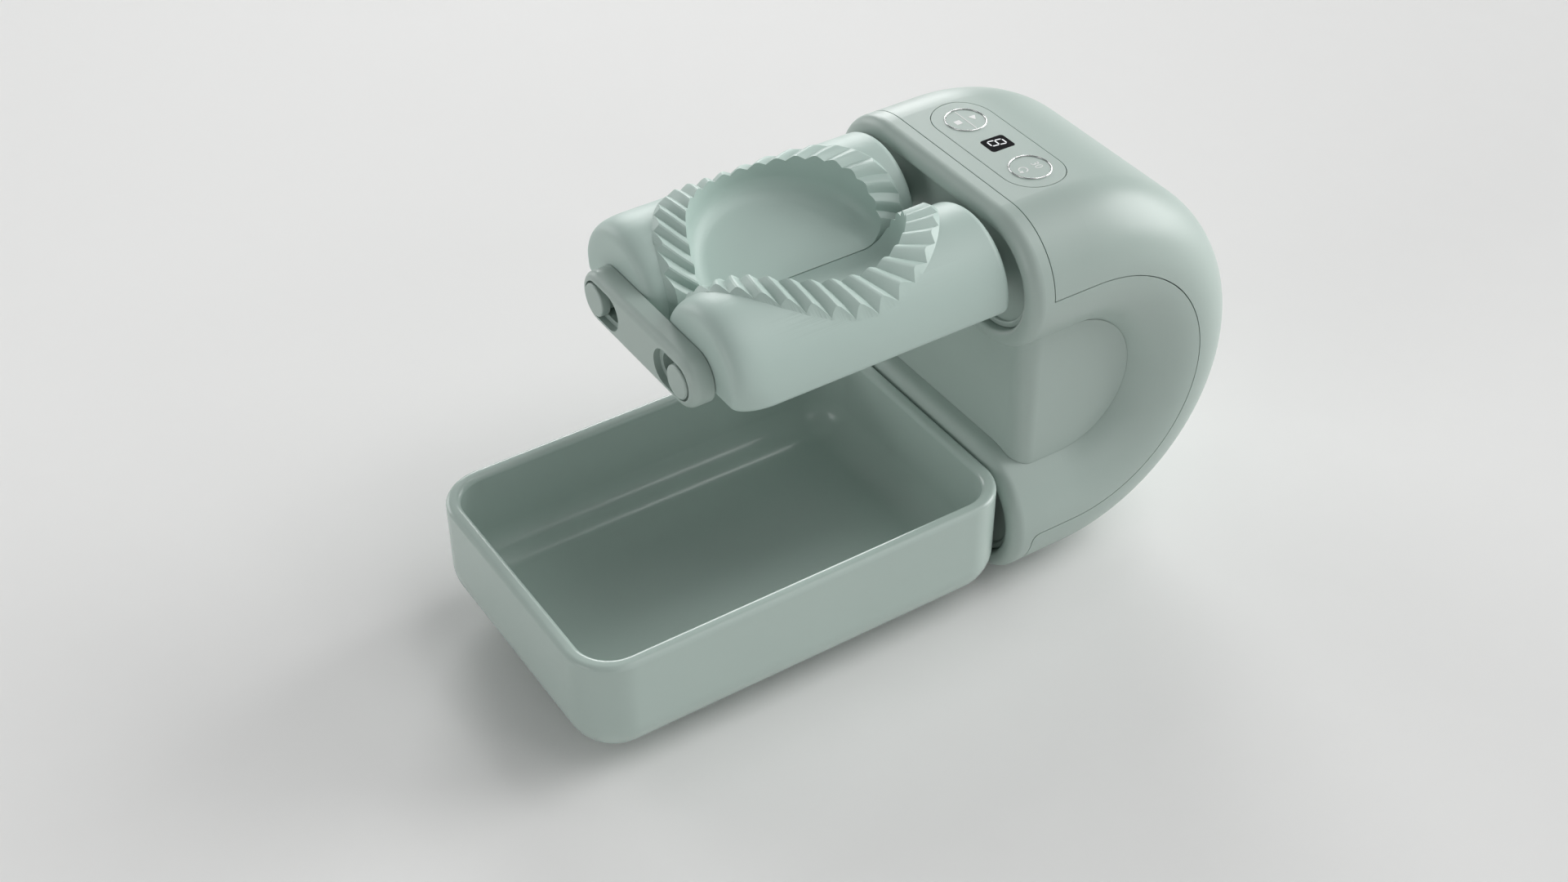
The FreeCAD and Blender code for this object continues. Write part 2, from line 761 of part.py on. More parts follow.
# Front plates, with the shafts' seals above and the magnets' bosses below
seals = [ring_x(seal_radius, shaft_radius + running_gap, plate_x - bead_height, plate_x + plate_thickness, y)
         for y in pair(roller_spacing)]
nodes["shaft_seals"] = Part.makeCompound(seals)
seal_holes = [rod_x(seal_radius + press_gap, plate_x, plate_x + plate_thickness, y, axis_z)
              for y in pair(roller_spacing)]
nodes["head_front_plate"] = front_plate(head_z).cut(seal_holes)
base_plate = front_plate(base_z)
for y in pair(magnet_spread):
    base_plate = base_plate.fuse(rod_x(magnet_boss_radius, front_x, plate_x, y, magnet_z))
    hole = rod_x(magnet_radius + press_gap, front_x, front_x + magnet_height, y, magnet_z)
    base_plate = base_plate.cut(hole)
nodes["base_front_plate"] = base_plate
nodes["dock_magnets"] = Part.makeCompound(
    [rod_x(magnet_radius, front_x, front_x + magnet_height, y, magnet_z) for y in pair(magnet_spread)])

# Control panel, buttons, display and the board under them
holes = [rod_z(button_radius + button_gap + ring_width + press_gap, bend_x, y, board_z, top_z + wall)
         for y in pair(button_spread)]
panel = skin(0, panel_thickness).common(panel_prism(panel_gap))
nodes["control_panel"] = panel.cut(holes + [display_prism(0)])
rings = []
for y in pair(button_spread):
    ring = rod_z(button_radius + button_gap + ring_width, bend_x, y, board_z, top_z + wall)
    ring = ring.cut(rod_z(button_radius + button_gap, bend_x, y, board_z, top_z + wall))
    rings.append(ring.common(skin(ring_proud, panel_thickness)))
nodes["button_rings"] = Part.makeCompound(rings)
nodes["display_window"] = skin(0, display_thickness).common(display_prism(press_gap))
nodes["turns_button"] = button(-button_spread / 2)
nodes["start_button"] = button(button_spread / 2)
half = board_length / 2
board_x0 = bend_x - board_width / 2
nodes["control_board"] = block(board_x0, board_x0 + board_width, -half, half,
                               board_z - board_thickness, board_z)
plunger_z = flange_z - button_travel - button_gap
switches = []
for y in pair(button_spread):
    s = switch_size / 2
    body = block(bend_x - s, bend_x + s, y - s, y + s, board_z, plunger_z - plunger_height)
    switches.append(body.fuse(rod_z(plunger_radius, bend_x, y, plunger_z - plunger_height, plunger_z)))
nodes["tact_switches"] = Part.makeCompound(switches)
nodes["display_module"] = block(bend_x - display_length / 2, bend_x + display_length / 2, -display_width / 2,
                                display_width / 2, board_z, top_z - panel_thickness - seat_gap)

# Gearbox
nodes["gearbox_front_plate"] = box_plate_at(box_front_x)
nodes["gearbox_rear_plate"] = box_plate_at(box_rear_x)
nodes["gearbox_spacers"] = Part.makeCompound(
    [rod_x(spacer_radius, box_front_x + box_plate, box_rear_x, y, axis_z) for y in pair(spacer_spread)])
nodes["shaft_bushes"] = Part.makeCompound(
    [ring_x(bush_radius, shaft_radius + running_gap, x, x + box_plate, y)
     for x in (box_front_x, box_rear_x) for y in pair(roller_spacing)])
nodes["idler_pins"] = Part.makeCompound(
    [rod_x(idler_pin_radius, box_front_x, motor_x, y, axis_z) for y in pair(2 * idler_y)])
nodes["gear_motor"] = make_motor()
half_drive = math.pi / drive_teeth
half_idler = math.pi / idler_teeth
nodes["drive_gear_near"] = gear(drive_teeth, 0, -roller_y, shaft_radius + press_gap)
nodes["drive_gear_far"] = gear(drive_teeth, math.pi + half_drive, roller_y, shaft_radius + press_gap)
nodes["idler_gear_near"] = gear(idler_teeth, math.pi + half_idler, -idler_y, idler_pin_radius + running_gap)
far_turn = math.pi + idler_teeth % 2 * half_idler
nodes["idler_gear_far"] = gear(idler_teeth, far_turn, idler_y, idler_pin_radius + running_gap)

# Rollers, shafts, pins and tie bar
for name, side, end_x in (("near", -1, motor_x + motor_bore_depth - seat_gap), ("far", 1, motor_x)):
    nodes["mould_" + name] = mould(side)
    nodes["drive_shaft_" + name] = drive_shaft(side * roller_y, end_x)
    nodes["retaining_pin_" + name] = retaining_pin(side * roller_y)
nodes["tie_bar"] = make_tie_bar()

# Supply
cells = [rod(cell_radius, Vec(cell_x + i * cell_pitch, -cell_length / 2, cell_z), Y, cell_length)
         for i in range(2)]
nodes["battery_cells"] = Part.makeCompound(cells)
grow = cell_radius + seat_gap
start_y = -cell_length / 2 - seat_gap
holder = block(cell_x - grow - holder_wall, cell_x + cell_pitch + grow + holder_wall,
               start_y - holder_wall, holder_wall - start_y, 0, cell_z)
holder = holder.common(tube(wall + seat_gap, rim_back_x))
holder = holder.cut([rod(grow, Vec(cell_x + i * cell_pitch, start_y, cell_z), Y, cell_length + 2 * seat_gap)
                     for i in range(2)])
nodes["battery_holder"] = holder
half = charger_width / 2
nodes["charging_board"] = block(back_x - charger_length, back_x - wall - seat_gap, -half, half,
                                mid_z, mid_z + charger_thickness)
socket_x = back_x - socket_length
port = socket_prism(0, socket_x, back_x - seat_gap)
port = port.cut(socket_prism(socket_wall, socket_x + socket_back, back_x))
half = tongue_width / 2
nodes["charging_socket"] = port.fuse(block(socket_x, back_x - tongue_setback, -half, half,
                                           socket_z - tongue_height / 2, socket_z + tongue_height / 2))

# Tray, its feet and keepers, and the body's feet
nodes["collecting_tray"] = make_tray()
nodes["tray_feet"] = Part.makeCompound(make_tray_feet())
nodes["tray_keepers"] = Part.makeCompound(
    [rod_x(magnet_radius, tray_back_x - keeper_height, tray_back_x, y, magnet_z)
     for y in pair(magnet_spread)])
feet = [rod_z(foot_radius, rim_back_x + x, y, 0, base_z).cut(tube(-running_gap, front_x))
        for x in (foot_front, foot_back) for y in pair(foot_spread)]
nodes["base_feet"] = Part.makeCompound(feet)

os.makedirs("parts", exist_ok=True)
for name, shape in nodes.items():
    if not shape.isValid():
        print("not valid:", name)
    shape.exportStep("parts/" + name + ".step")
print(len(nodes), "nodes,", sum(len(s.Solids) for s in nodes.values()), "solids")
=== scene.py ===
import json
import math

import bmesh
import bpy
from mathutils import Matrix, Vector
from mathutils.bvhtree import BVHTree


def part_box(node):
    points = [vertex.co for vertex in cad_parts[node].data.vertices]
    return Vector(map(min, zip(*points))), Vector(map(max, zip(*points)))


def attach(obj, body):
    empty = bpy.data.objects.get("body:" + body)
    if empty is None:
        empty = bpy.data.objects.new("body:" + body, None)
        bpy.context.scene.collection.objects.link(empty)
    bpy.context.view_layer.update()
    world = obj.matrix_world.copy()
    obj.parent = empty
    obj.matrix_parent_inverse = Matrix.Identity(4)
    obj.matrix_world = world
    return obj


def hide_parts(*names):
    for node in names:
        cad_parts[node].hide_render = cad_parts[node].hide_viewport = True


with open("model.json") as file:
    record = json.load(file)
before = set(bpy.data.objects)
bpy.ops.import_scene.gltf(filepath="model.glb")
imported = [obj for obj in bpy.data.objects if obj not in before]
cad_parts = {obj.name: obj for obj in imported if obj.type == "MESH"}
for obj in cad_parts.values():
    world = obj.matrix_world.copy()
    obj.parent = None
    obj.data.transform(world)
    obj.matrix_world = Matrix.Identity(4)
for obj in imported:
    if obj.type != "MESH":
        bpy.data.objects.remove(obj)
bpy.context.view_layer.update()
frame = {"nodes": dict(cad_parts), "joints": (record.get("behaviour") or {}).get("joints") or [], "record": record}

nodes = frame["nodes"]
jointPlace = {joint["name"]: Vector(joint.get("pos_m", (0, 0, 0))) for joint in frame["joints"]}
mm = 0.001
print("frame loaded:", len(nodes), "nodes")


# Shader maths: a wrapped socket, so that sums on values add their own nodes
class Sock:
    def __init__(self, tree, socket=None):
        self.tree = tree
        self.socket = socket

    def node(self, kind, settings=None, sockets=None, out=0):
        made = self.tree.nodes.new("ShaderNode" + kind)
        for name, value in (settings or {}).items():
            setattr(made, name, value)
        for name, value in (sockets or {}).items():
            if isinstance(value, Sock):
                self.tree.links.new(value.socket, made.inputs[name])
            else:
                made.inputs[name].default_value = value
        return Sock(self.tree, made.outputs[out] if made.outputs else None)

    def maths(self, operation, a, b):
        return self.node("Math", {"operation": operation}, {0: a, 1: b})

    def __add__(self, other):
        return self.maths("ADD", self, other)

    def __radd__(self, other):
        return self.maths("ADD", other, self)

    def __sub__(self, other):
        return self.maths("SUBTRACT", self, other)

    def __rsub__(self, other):
        return self.maths("SUBTRACT", other, self)

    def __mul__(self, other):
        return self.maths("MULTIPLY", self, other)

    def __rmul__(self, other):
        return self.maths("MULTIPLY", other, self)


def startMaterial(name):
    material = bpy.data.materials.new(name)
    material.use_nodes = True
    material.node_tree.nodes.clear()
    net = Sock(material.node_tree)
    return material, net, net.node("TexCoord", out="Object")


def endMaterial(net, sockets, bump=None):
    if bump:
        height, strength, distance = bump
        sockets["Normal"] = net.node("Bump", {}, {
            "Height": height, "Strength": strength, "Distance": distance})
    shader = net.node("BsdfPrincipled", {}, sockets)
    net.node("OutputMaterial", {}, {"Surface": shader})


def noise(net, place, scale, detail=2.0):
    return net.node("TexNoise", {}, {"Vector": place, "Scale": scale, "Detail": detail})


# Noise wanders either side of a half
def swing(pattern, amount):
    return (pattern - 0.5) * amount


def shade(colour, amount):
    return tuple(channel * amount for channel in colour)


# One colour, darker to lighter along a pattern
def tinted(net, pattern, colour, dark, light):
    dark = (*shade(colour, dark), 1)
    light = (*shade(colour, light), 1)
    # 6 and 7 are the colours of a Mix node, and 2 is its mixed colour
    return net.node("Mix", {"data_type": "RGBA"}, {"Factor": pattern, 6: dark, 7: light}, out=2)


# Satin moulded plastic: faint cloudiness from the melt, a fine spark grain and uneven gloss
sagePlastic = {
    "body": {"colour": (0.400, 0.484, 0.446), "gloss": 0.38, "grain": 0.25},
    "rollers": {"colour": (0.452, 0.566, 0.522), "gloss": 0.44, "grain": 0.18},
    "tray": {"colour": (0.440, 0.533, 0.492), "gloss": 0.22, "grain": 0.06},
    "tint": 0.035,
    "cloudShare": 0.7,
    "cloudScale": 34,
    "cloudGloss": 0.10,
    "grainScale": 2600,
    "grainGloss": 0.08,
    "grainHeight": 0.006 * mm,
}


def plasticFinish(kind):
    material, net, place = startMaterial(kind + "Plastic")
    values = sagePlastic[kind]
    tint = sagePlastic["tint"]
    share = sagePlastic["cloudShare"]
    cloud = noise(net, place, sagePlastic["cloudScale"], detail=3)
    speck = noise(net, place, sagePlastic["grainScale"])
    uneven = swing(cloud, sagePlastic["cloudGloss"]) + swing(speck, sagePlastic["grainGloss"])
    endMaterial(net, {
        "Base Color": tinted(net, cloud * share + speck * (1 - share), values["colour"], 1 - tint, 1 + tint),
        "Roughness": values["gloss"] + uneven,
    }, (speck, values["grain"], sagePlastic["grainHeight"]))
    return material


# Black glass of the small window, with a trace of wiping
windowGlass = {
    "colour": (0.006, 0.006, 0.007),
    "gloss": 0.06,
    "shine": 0.3,
    "wipeScale": 90,
    "wipeLight": 1.8,
    "wipeGloss": 0.05,
}


def windowFinish():
    material, net, place = startMaterial("windowGlass")
    wipe = noise(net, place, windowGlass["wipeScale"], detail=4)
    endMaterial(net, {
        "Base Color": tinted(net, wipe, windowGlass["colour"], 1, windowGlass["wipeLight"]),
        "Roughness": windowGlass["gloss"] + wipe * windowGlass["wipeGloss"],
        "Specular IOR Level": windowGlass["shine"],
    })
    return material


# Metals: drawn or turned marks along one axis
metalFinishes = {
    "chromeTrim": {"colour": (0.86, 0.86, 0.86), "gloss": 0.20, "marks": (900, 900, 200)},
    "platedSteel": {"colour": (0.56, 0.57, 0.58), "gloss": 0.28, "marks": (120, 1500, 1500)},
    "gearboxAlloy": {"colour": (0.60, 0.61, 0.62), "gloss": 0.36, "marks": (900, 900, 90)},
    "bushBronze": {"colour": (0.55, 0.36, 0.15), "gloss": 0.34, "marks": (1400, 1400, 1400)},
}
metalMarks = {"dark": 0.9, "light": 1.05, "gloss": 0.16, "depth": 0.08, "height": 0.01 * mm}


def metalFinish(name):
    values = metalFinishes[name]
    material, net, place = startMaterial(name)
    stretched = net.node("Mapping", {}, {"Vector": place, "Scale": values["marks"]})
    marks = noise(net, stretched, 1.0, detail=3)
    endMaterial(net, {
        "Base Color": tinted(net, marks, values["colour"], metalMarks["dark"], metalMarks["light"]),
        "Metallic": 1.0,
        "Roughness": values["gloss"] + swing(marks, metalMarks["gloss"]),
    }, (marks, metalMarks["depth"], metalMarks["height"]))
    return material


# Plain dull pieces: rubber, nylon, black mouldings
dullFinishes = {
    "softRubber": {"colour": (0.045, 0.050, 0.048), "gloss": 0.72, "grain": 1500, "depth": 0.35},
    "gearNylon": {"colour": (0.74, 0.73, 0.67), "gloss": 0.42, "grain": 700, "depth": 0.10},
    "switchBlack": {"colour": (0.020, 0.020, 0.021), "gloss": 0.50, "grain": 1800, "depth": 0.15},
}
dullGrain = {"dark": 0.85, "light": 1.12, "gloss": 0.2, "height": 0.02 * mm}


def dullFinish(name):
    values = dullFinishes[name]
    material, net, place = startMaterial(name)
    grain = noise(net, place, values["grain"], detail=3)
    endMaterial(net, {
        "Base Color": tinted(net, grain, values["colour"], dullGrain["dark"], dullGrain["light"]),
        "Roughness": values["gloss"] + swing(grain, dullGrain["gloss"]),
    }, (grain, values["depth"], dullGrain["height"]))
    return material


# Circuit board: solder mask with copper tracks showing through as lighter bands
circuitBoard = {
    "mask": (0.012, 0.105, 0.050),
    "maskDark": 0.8,
    "track": (0.030, 0.190, 0.085),
    "trackScale": 420,
    "trackWidth": 0.03,
    "trackOffset": 0.5,
    "gloss": 0.30,
    "speckScale": 3000,
    "speckGloss": 0.1,
    "speckDepth": 0.05,
    "speckHeight": 0.01 * mm,
}


def boardFinish():
    material, net, place = startMaterial("circuitBoard")
    bands = net.node("TexBrick", {"offset": circuitBoard["trackOffset"]}, {
        "Vector": place,
        "Color1": (*circuitBoard["mask"], 1),
        "Color2": (*shade(circuitBoard["mask"], circuitBoard["maskDark"]), 1),
        "Mortar": (*circuitBoard["track"], 1),
        "Scale": circuitBoard["trackScale"],
        "Mortar Size": circuitBoard["trackWidth"],
    })
    speck = noise(net, place, circuitBoard["speckScale"])
    endMaterial(net, {
        "Base Color": bands,
        "Roughness": circuitBoard["gloss"] + speck * circuitBoard["speckGloss"],
    }, (speck, circuitBoard["speckDepth"], circuitBoard["speckHeight"]))
    return material


# Shrink film round the cells, with fine wrinkles
cellWrap = {
    "colour": (0.030, 0.110, 0.300),
    "dark": 0.85,
    "light": 1.15,
    "gloss": 0.22,
    "wrinkleScale": 260,
    "wrinkleGloss": 0.12,
    "wrinkleDepth": 0.2,
    "wrinkleHeight": 0.03 * mm,
}


def wrapFinish():
    material, net, place = startMaterial("cellWrap")
    wrinkle = noise(net, place, cellWrap["wrinkleScale"], detail=4)
    endMaterial(net, {
        "Base Color": tinted(net, wrinkle, cellWrap["colour"], cellWrap["dark"], cellWrap["light"]),
        "Roughness": cellWrap["gloss"] + wrinkle * cellWrap["wrinkleGloss"],
    }, (wrinkle, cellWrap["wrinkleDepth"], cellWrap["wrinkleHeight"]))
    return material


finishes = {
    "sage_plastic": plasticFinish("body"),
    "display_black": windowFinish(),
    "switch_black": dullFinish("switchBlack"),
    "chrome_trim": metalFinish("chromeTrim"),
    "circuit_board": boardFinish(),
    "plated_steel": metalFinish("platedSteel"),
    "gearbox_alloy": metalFinish("gearboxAlloy"),
    "bush_bronze": metalFinish("bushBronze"),
    "soft_rubber": dullFinish("softRubber"),
    "gear_plastic": dullFinish("gearNylon"),
    "cell_wrap": wrapFinish(),
}
trayPlastic = plasticFinish("tray")
rollerPlastic = plasticFinish("rollers")
ownFinish = {"collecting_tray": trayPlastic, "mould_near": rollerPlastic, "mould_far": rollerPlastic}
for part in frame["record"]["subparts"]:
    mesh = nodes[part["node"]].data
    mesh.materials.clear()
    mesh.materials.append(ownFinish.get(part["node"], finishes[part["material_slot"]]))
print("finishes on every node")


def finishPiece(name, bm, material, body):
    mesh = bpy.data.meshes.new(name)
    bm.to_mesh(mesh)
    bm.free()
    mesh.materials.append(material)
    piece = bpy.data.objects.new(name, mesh)
    bpy.context.scene.collection.objects.link(piece)
    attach(piece, body)
    return piece


def smoothFaces(bm):
    for face in bm.faces:
        face.smooth = True


# Even shading over rounded edges: wide flat faces keep their own direction
flatWeight = 80


def shadeEven(piece):
    shading = piece.modifiers.new("shading", "WEIGHTED_NORMAL")
    shading.keep_sharp = True
    shading.weight = flatWeight


# Collecting tray: a rounded plate drawn up into a deep shell with bowl-like edges
deepTray = {
    "bottom": 5.4 * mm,
    "floor": 12.6 * mm,
    "wall": 5.0 * mm,
    "corner": 17.0 * mm,
    "cornerSteps": 14,
    "bottomRound": 16.2 * mm,
    "bottomSteps": 14,
    "insideRound": 11.6 * mm,
    "insideSteps": 12,
    "rimRound": 1.8 * mm,
    "rimSteps": 5,
    "backClear": 0.1 * mm,   # leaves the keepers just proud of the back wall
    "closeTo": 0.01 * mm,
    "squareAbove": 57,       # degrees, past which an edge is still unrounded
}


def roundRing(bm, height, radius, steps):
    square = math.radians(deepTray["squareAbove"])
    ring = [edge for edge in bm.edges if edge.calc_face_angle(0) > square
            and all(abs(vert.co.z - height) < deepTray["closeTo"] for vert in edge.verts)]
    bmesh.ops.bevel(bm, geom=ring, offset=radius, offset_type="OFFSET", segments=steps, profile=0.5,
                    affect="EDGES", material=-1, clamp_overlap=False, loop_slide=True)


def drawTo(bm, face, height):
    moved = bmesh.ops.extrude_face_region(bm, geom=[face])["geom"]
    for part in moved:
        if isinstance(part, bmesh.types.BMVert):
            part.co.z = height
    return [part for part in moved if isinstance(part, bmesh.types.BMFace)][0]


def makeTray():
    low, high = (Vector(corner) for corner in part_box("collecting_tray"))
    high.x -= deepTray["backClear"]
    middle = (low + high) / 2
    span = high - low
    bm = bmesh.new()
    bmesh.ops.create_grid(bm, x_segments=1, y_segments=1, size=0.5)   # one metre square, scaled next
    bmesh.ops.scale(bm, vec=(span.x, span.y, 1), verts=bm.verts)
    bmesh.ops.translate(bm, vec=(middle.x, middle.y, deepTray["bottom"]), verts=bm.verts)
    bmesh.ops.bevel(bm, geom=bm.verts[:], offset=deepTray["corner"], offset_type="OFFSET", profile=0.5,
                    segments=deepTray["cornerSteps"], affect="VERTICES", material=-1)
    rim = drawTo(bm, bm.faces[:][0], high.z)
    bmesh.ops.inset_region(bm, faces=[rim], thickness=deepTray["wall"], use_even_offset=True)
    drawTo(bm, rim, deepTray["floor"])
    bmesh.ops.delete(bm, geom=[rim], context="FACES_ONLY")   # opens the shell at the top
    roundRing(bm, deepTray["bottom"], deepTray["bottomRound"], deepTray["bottomSteps"])
    roundRing(bm, deepTray["floor"], deepTray["insideRound"], deepTray["insideSteps"])
    roundRing(bm, high.z, deepTray["rimRound"], deepTray["rimSteps"])
    bmesh.ops.recalc_face_normals(bm, faces=bm.faces)
    smoothFaces(bm)
    tray = finishPiece("collectingTrayShell", bm, trayPlastic, "tray")
    shadeEven(tray)
    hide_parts("collecting_tray")


makeTray()
print("tray drawn from a rounded plate")


# Mould rollers: copies with their facets joined, so that the crimps shade as rounded waves
mouldRollers = {
    "pieces": {
        "crimpedRollerNear": ("mould_near", "roller_near", "mould_near_spin"),
        "crimpedRollerFar": ("mould_far", "roller_far", "mould_far_spin"),
    },
    "joinWithin": 0.003 * mm,
    "sharpAbove": 24,
}
# The free ends swell to a fuller shoulder than an ellipse, fading out towards the flat underside
freeEnd = {
    "from": -58.1 * mm,
    "run": 13.0 * mm,
    "low": 16.4 * mm,     # radius at the very end
    "drop": 6.5 * mm,
    "fullness": 3.2,      # 2 is an ellipse
    "near": 0.2 * mm,     # points further than this from the shoulder stay
    "flat": -3.6 * mm,
    "fade": 8.0 * mm,
}


def shoulder(along, fullness):
    return freeEnd["low"] + freeEnd["drop"] * (1 - along ** fullness) ** (1 / fullness)


def fillFreeEnd(bm, axis):
    for vert in bm.verts:
        along = (freeEnd["from"] - vert.co.x) / freeEnd["run"]
        if not 0 < along < 1:
            continue
        away = Vector((0, vert.co.y - axis.y, vert.co.z - axis.z))
        drawn = shoulder(along, 2)
        if abs(away.length - drawn) > freeEnd["near"]:
            continue
        fuller = shoulder(along, freeEnd["fullness"])
        fade = min(max((away.z - freeEnd["flat"]) / freeEnd["fade"], 0), 1)
        vert.co += away.normalized() * (fuller - drawn) * fade


def makeRollers():
    for name, (node, body, spin) in mouldRollers["pieces"].items():
        bm = bmesh.new()
        bm.from_mesh(nodes[node].data)
        bmesh.ops.remove_doubles(bm, verts=bm.verts, dist=mouldRollers["joinWithin"])
        fillFreeEnd(bm, jointPlace[spin])
        smoothFaces(bm)
        for edge in bm.edges:
            edge.smooth = edge.calc_face_angle(0) < math.radians(mouldRollers["sharpAbove"])
        roller = finishPiece(name, bm, rollerPlastic, body)
        shadeEven(roller)
        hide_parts(node)


makeRollers()
print("rollers joined")


# Marks on the panel, drawn flat in millimetres and laid on what carries them.
# They read from the front of the head: right is -Y and up is +X.
panelMarks = {
    "sink": 0.03,
    "rise": 0.05,
    "dropFrom": 5.0,   # height above the carrier from which marks are laid
    "digit": {"height": 5.4, "width": 3.0, "stroke": 0.44, "slant": 0.158, "gap": 0.22,
              "right": -0.5, "up": 0.1},
    "number": {"text": "30", "size": 4.2, "thin": 0.05, "up": 2.5, "joinWithin": 0.001},
    "turnArrow": {"radius": 1.45, "stroke": 0.36, "sweep": 290, "steps": 40, "head": 0.85,
                  "point": 1.5, "up": -2.9},
    "bar": {"length": 12.2, "stroke": 0.32},
    "play": {"size": 1.45, "back": 0.8, "up": 3.1},
    "stop": {"size": 1.15, "up": -3.1},
}


def raiseFace(bm, corners):
    face = bm.faces.new([bm.verts.new((right, up, -panelMarks["sink"])) for right, up in corners])
    raised = bmesh.ops.extrude_face_region(bm, geom=[face])["geom"]
    lifted = [part for part in raised if isinstance(part, bmesh.types.BMVert)]
    bmesh.ops.translate(bm, verts=lifted, vec=(0, 0, panelMarks["sink"] + panelMarks["rise"]))


def drawBar(bm, start, end, stroke):
    start = Vector(start)
    end = Vector(end)
    along = (end - start).normalized() * stroke / 2
    side = Vector((-along.y, along.x))
    raiseFace(bm, [start, start + along + side, end - along + side,
                   end, end - along - side, start + along - side])


def drawDigit(bm):
    digit = panelMarks["digit"]
    half = digit["width"] / 2
    top = digit["height"] / 2
    gap = digit["gap"]
    for level in (-top, 0, top):
        drawBar(bm, (-half + gap, level), (half - gap, level), digit["stroke"])
    for side in (-half, half):
        for low in (-top, 0):
            drawBar(bm, (side, low + gap), (side, low + top - gap), digit["stroke"])
    slant = Matrix.Identity(4)
    slant[0][1] = digit["slant"]
    place = Matrix.Translation((digit["right"], digit["up"], 0))
    bmesh.ops.transform(bm, matrix=place @ slant, verts=bm.verts)


def drawNumber(bm):
    number = panelMarks["number"]
    curve = bpy.data.curves.new("number", "FONT")
    curve.body = number["text"]
    curve.size = number["size"]
    curve.offset = -number["thin"]
    curve.align_x = "CENTER"
    curve.align_y = "CENTER"
    curve.extrude = (panelMarks["sink"] + panelMarks["rise"]) / 2
    holder = bpy.data.objects.new("number", curve)
    bpy.context.scene.collection.objects.link(holder)
    mesh = bpy.data.meshes.new_from_object(holder.evaluated_get(bpy.context.evaluated_depsgraph_get()))
    bm.from_mesh(mesh)
    bpy.data.objects.remove(holder)
    bpy.data.meshes.remove(mesh)
    lift = (panelMarks["rise"] - panelMarks["sink"]) / 2
    bmesh.ops.translate(bm, verts=bm.verts, vec=(0, number["up"], lift))
    bmesh.ops.remove_doubles(bm, verts=bm.verts, dist=number["joinWithin"])


def drawTurnArrow(bm):
    arrow = panelMarks["turnArrow"]
    inner = arrow["radius"] - arrow["stroke"] / 2
    outer = arrow["radius"] + arrow["stroke"] / 2
    profile = [(inner, -panelMarks["sink"]), (outer, -panelMarks["sink"]),
               (outer, panelMarks["rise"]), (inner, panelMarks["rise"])]
    section = bm.faces.new([bm.verts.new((radius, 0, height)) for radius, height in profile])
    sweep = math.radians(arrow["sweep"])
    geometry = [section] + list(section.verts) + list(section.edges)
    bmesh.ops.spin(bm, geom=geometry, cent=(0, 0, 0), axis=(0, 0, 1), angle=sweep, steps=arrow["steps"])
    tip = Vector((math.cos(sweep), math.sin(sweep))) * arrow["radius"]
    out = tip.normalized() * arrow["head"]
    ahead = Vector((-out.y, out.x))
    raiseFace(bm, [tip - out, tip + out, tip + ahead * arrow["point"]])
    bmesh.ops.translate(bm, verts=bm.verts, vec=(0, arrow["up"], 0))


def drawStartStop(bm):
    bar = panelMarks["bar"]
    drawBar(bm, (-bar["length"] / 2, 0), (bar["length"] / 2, 0), bar["stroke"])
    play = panelMarks["play"]
    size = play["size"]
    back = -size * play["back"]
    raiseFace(bm, [(back, play["up"] - size), (size, play["up"]), (back, play["up"] + size)])
    stop = panelMarks["stop"]
    size = stop["size"]
    raiseFace(bm, [(-size, stop["up"] - size), (size, stop["up"] - size),
                   (size, stop["up"] + size), (-size, stop["up"] + size)])


# Half-sunk bright bead on the ring round each button, in millimetres too
ringBeads = {"apart": 34.5, "radius": 6.925, "bead": 0.2, "sides": 10, "steps": 96}


def drawBeads(bm):
    for right in (-ringBeads["apart"] / 2, ringBeads["apart"] / 2):
        bead = bmesh.ops.create_circle(bm, segments=ringBeads["sides"], radius=ringBeads["bead"])["verts"]
        place = Matrix.Translation((right + ringBeads["radius"], 0, 0))
        upright = Matrix.Rotation(math.pi / 2, 4, "X")
        bmesh.ops.transform(bm, matrix=place @ upright, verts=bead)
        outline = list({edge for vert in bead for edge in vert.link_edges})
        bmesh.ops.spin(bm, geom=bead + outline, cent=(right, 0, 0), axis=(0, 0, 1), angle=2 * math.pi,
                       steps=ringBeads["steps"], use_merge=True)
    bmesh.ops.recalc_face_normals(bm, faces=bm.faces)
    smoothFaces(bm)


def layMarks(name, node, body, material, drawings):
    bm = bmesh.new()
    for draw in drawings:
        drawn = bmesh.new()
        draw(drawn)
        flat = bpy.data.meshes.new("flat")
        drawn.to_mesh(flat)
        drawn.free()
        bm.from_mesh(flat)
        bpy.data.meshes.remove(flat)
    bmesh.ops.recalc_face_normals(bm, faces=bm.faces)
    low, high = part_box(node)
    middle = (low + high) / 2
    top = high.z + panelMarks["dropFrom"] * mm
    carrier = BVHTree.FromObject(nodes[node], bpy.context.evaluated_depsgraph_get())
    for vertex in bm.verts:
        right, up, height = vertex.co * mm
        above = Vector((middle.x + up, middle.y - right, top))
        vertex.co = carrier.ray_cast(above, Vector((0, 0, -1)))[0] + Vector((0, 0, height))
    finishPiece(name, bm, material, body)


# Lit segments behind the window and the pale print on the buttons
litSegment = {
    "colour": (0.93, 0.95, 0.97),
    "dark": 0.9,
    "unlit": (0.02, 0.02, 0.02),
    "glow": 1.0,
    "gloss": 0.3,
    "speckScale": 4000,
}
markPrint = {
    "colour": (0.80, 0.81, 0.80),
    "dark": 0.9,
    "light": 1.06,
    "gloss": 0.40,
    "speckGloss": 0.12,
    "speckScale": 2600,
}


